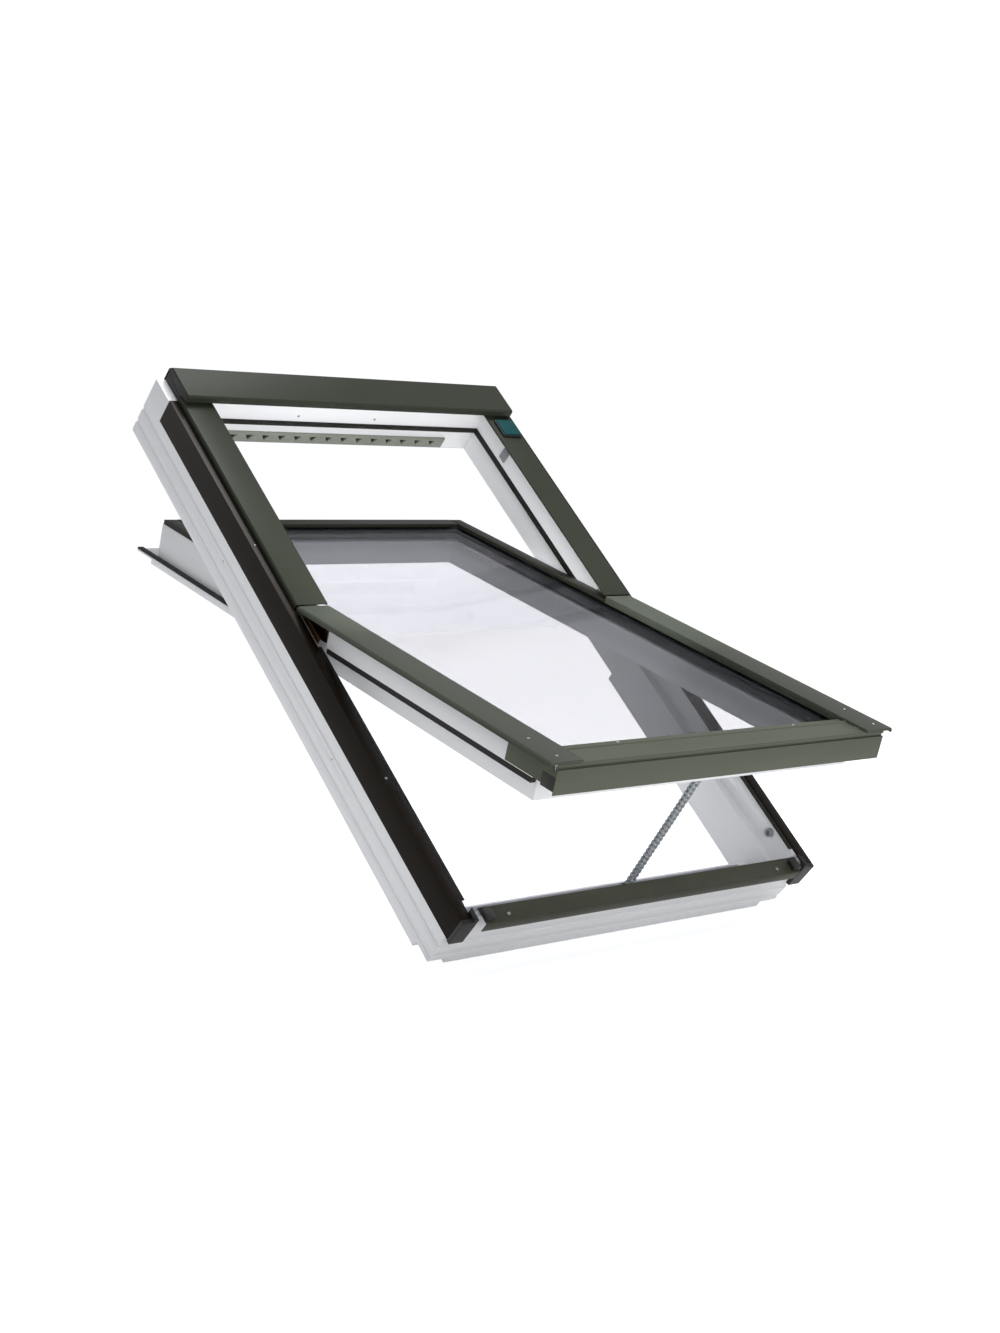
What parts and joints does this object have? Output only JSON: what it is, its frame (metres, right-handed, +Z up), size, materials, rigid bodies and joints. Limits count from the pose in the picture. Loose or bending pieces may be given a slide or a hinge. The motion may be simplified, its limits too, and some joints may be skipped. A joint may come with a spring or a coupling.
{
  "type": "roof skylight",
  "caption": "Centre-pivot roof window with a tilting glazed sash, folded outside covers and an electric chain opener.",
  "frame": {"origin": "middle of the frame, mid-width and mid-height, on the outer plane of the side cladding", "axes": "+Z up; +Y into the building; +X to the right seen from outside. The window leans back on a 45 degree roof, so its outward normal is (0, -0.707, 0.707)"},
  "size_m": [0.783, 1.1491, 0.9384],
  "materials": {
    "white_frame": "white polyurethane coat on laminated pine",
    "dark_cladding": "dark grey-green powder-coated sheet",
    "side_cladding": "dark brown-grey powder-coated sheet",
    "sash_cladding": "grey-green powder-coated sheet",
    "sash_trim": "dark powder-coated sheet",
    "black_plastic": "black moulded plastic",
    "seal_rubber": "black extruded rubber",
    "vent_plastic": "grey-green moulded plastic",
    "sensor_teal": "dark teal gloss",
    "grey_plastic": "grey moulded plastic",
    "hinge_steel": "dark bronze passivated steel",
    "drive_casing": "dark grey plastic casing",
    "drive_strip": "grey plastic strip",
    "zinc_steel": "zinc-plated steel",
    "clear_glass": "clear float glass",
    "spacer_black": "black warm-edge spacer"
  },
  "bodies": {
    "frame": {"frame_head": "white_frame", "frame_sill": "white_frame", "frame_stile_left": "white_frame", "frame_stile_right": "white_frame", "hood_carrier": "black_plastic", "hood": "dark_cladding", "hood_end_left": "black_plastic", "hood_end_right": "black_plastic", "upper_cover_left": "dark_cladding", "upper_cover_right": "dark_cladding", "side_cladding_left": "side_cladding", "side_cladding_right": "side_cladding", "sill_cladding": "side_cladding", "corner_cap_left": "black_plastic", "corner_cap_right": "black_plastic", "rain_seals": "seal_rubber", "frame_gasket": "seal_rubber", "vent_grille": "vent_plastic", "vent_filter": "black_plastic", "sensor_base": "black_plastic", "rain_sensor": "sensor_teal", "stile_clip": "grey_plastic", "bolt_socket": "grey_plastic", "hinge_frame_left": "hinge_steel", "hinge_frame_right": "hinge_steel", "chain_drive": "drive_casing", "drive_cover": "drive_strip", "frame_screws": "zinc_steel"},
    "sash": {"sash_head": "white_frame", "sash_sill": "white_frame", "sash_stile_left": "white_frame", "sash_stile_right": "white_frame", "glass_outer": "clear_glass", "glass_inner": "clear_glass", "glass_spacer": "spacer_black", "glazing_gasket": "seal_rubber", "upper_trim_head": "sash_trim", "upper_trim_left": "sash_trim", "upper_trim_right": "sash_trim", "lower_cover_left": "sash_cladding", "lower_cover_right": "sash_cladding", "bottom_cover": "sash_cladding", "corner_return_left": "sash_cladding", "corner_return_right": "sash_cladding", "corner_plug_left": "black_plastic", "corner_plug_right": "black_plastic", "sash_gasket": "seal_rubber", "hinge_sash_left": "hinge_steel", "hinge_sash_right": "hinge_steel", "chain_bracket": "zinc_steel", "bracket_pin": "zinc_steel", "bolt_housing": "grey_plastic", "sash_screws": "zinc_steel"},
    "chain_arm": {"chain": "zinc_steel", "chain_guide": "black_plastic"},
    "bolt": {"cleaning_bolt": "zinc_steel"}
  },
  "joints": [
    {"name": "sash_pivot", "type": "hinge", "parent": "frame", "child": "sash", "pos_m": [0, 0.01838, 0.01838], "axis": [-1, 0, 0], "range_deg": [-27, 0], "deforming": ["chain"]},
    {"name": "chain_swivel", "type": "hinge", "parent": "frame", "child": "chain_arm", "pos_m": [0.05, -0.31183, -0.44053], "axis": [-1, 0, 0], "range_deg": [-13.5, 0]},
    {"name": "cleaning_bolt_slide", "type": "slide", "parent": "sash", "child": "bolt", "axis": [1, 0, 0], "range_m": [0, 0.008]}
  ],
  "couplings": [
    {"joint": "chain_swivel", "follows": "sash_pivot", "ratio": 0.5}
  ]
}
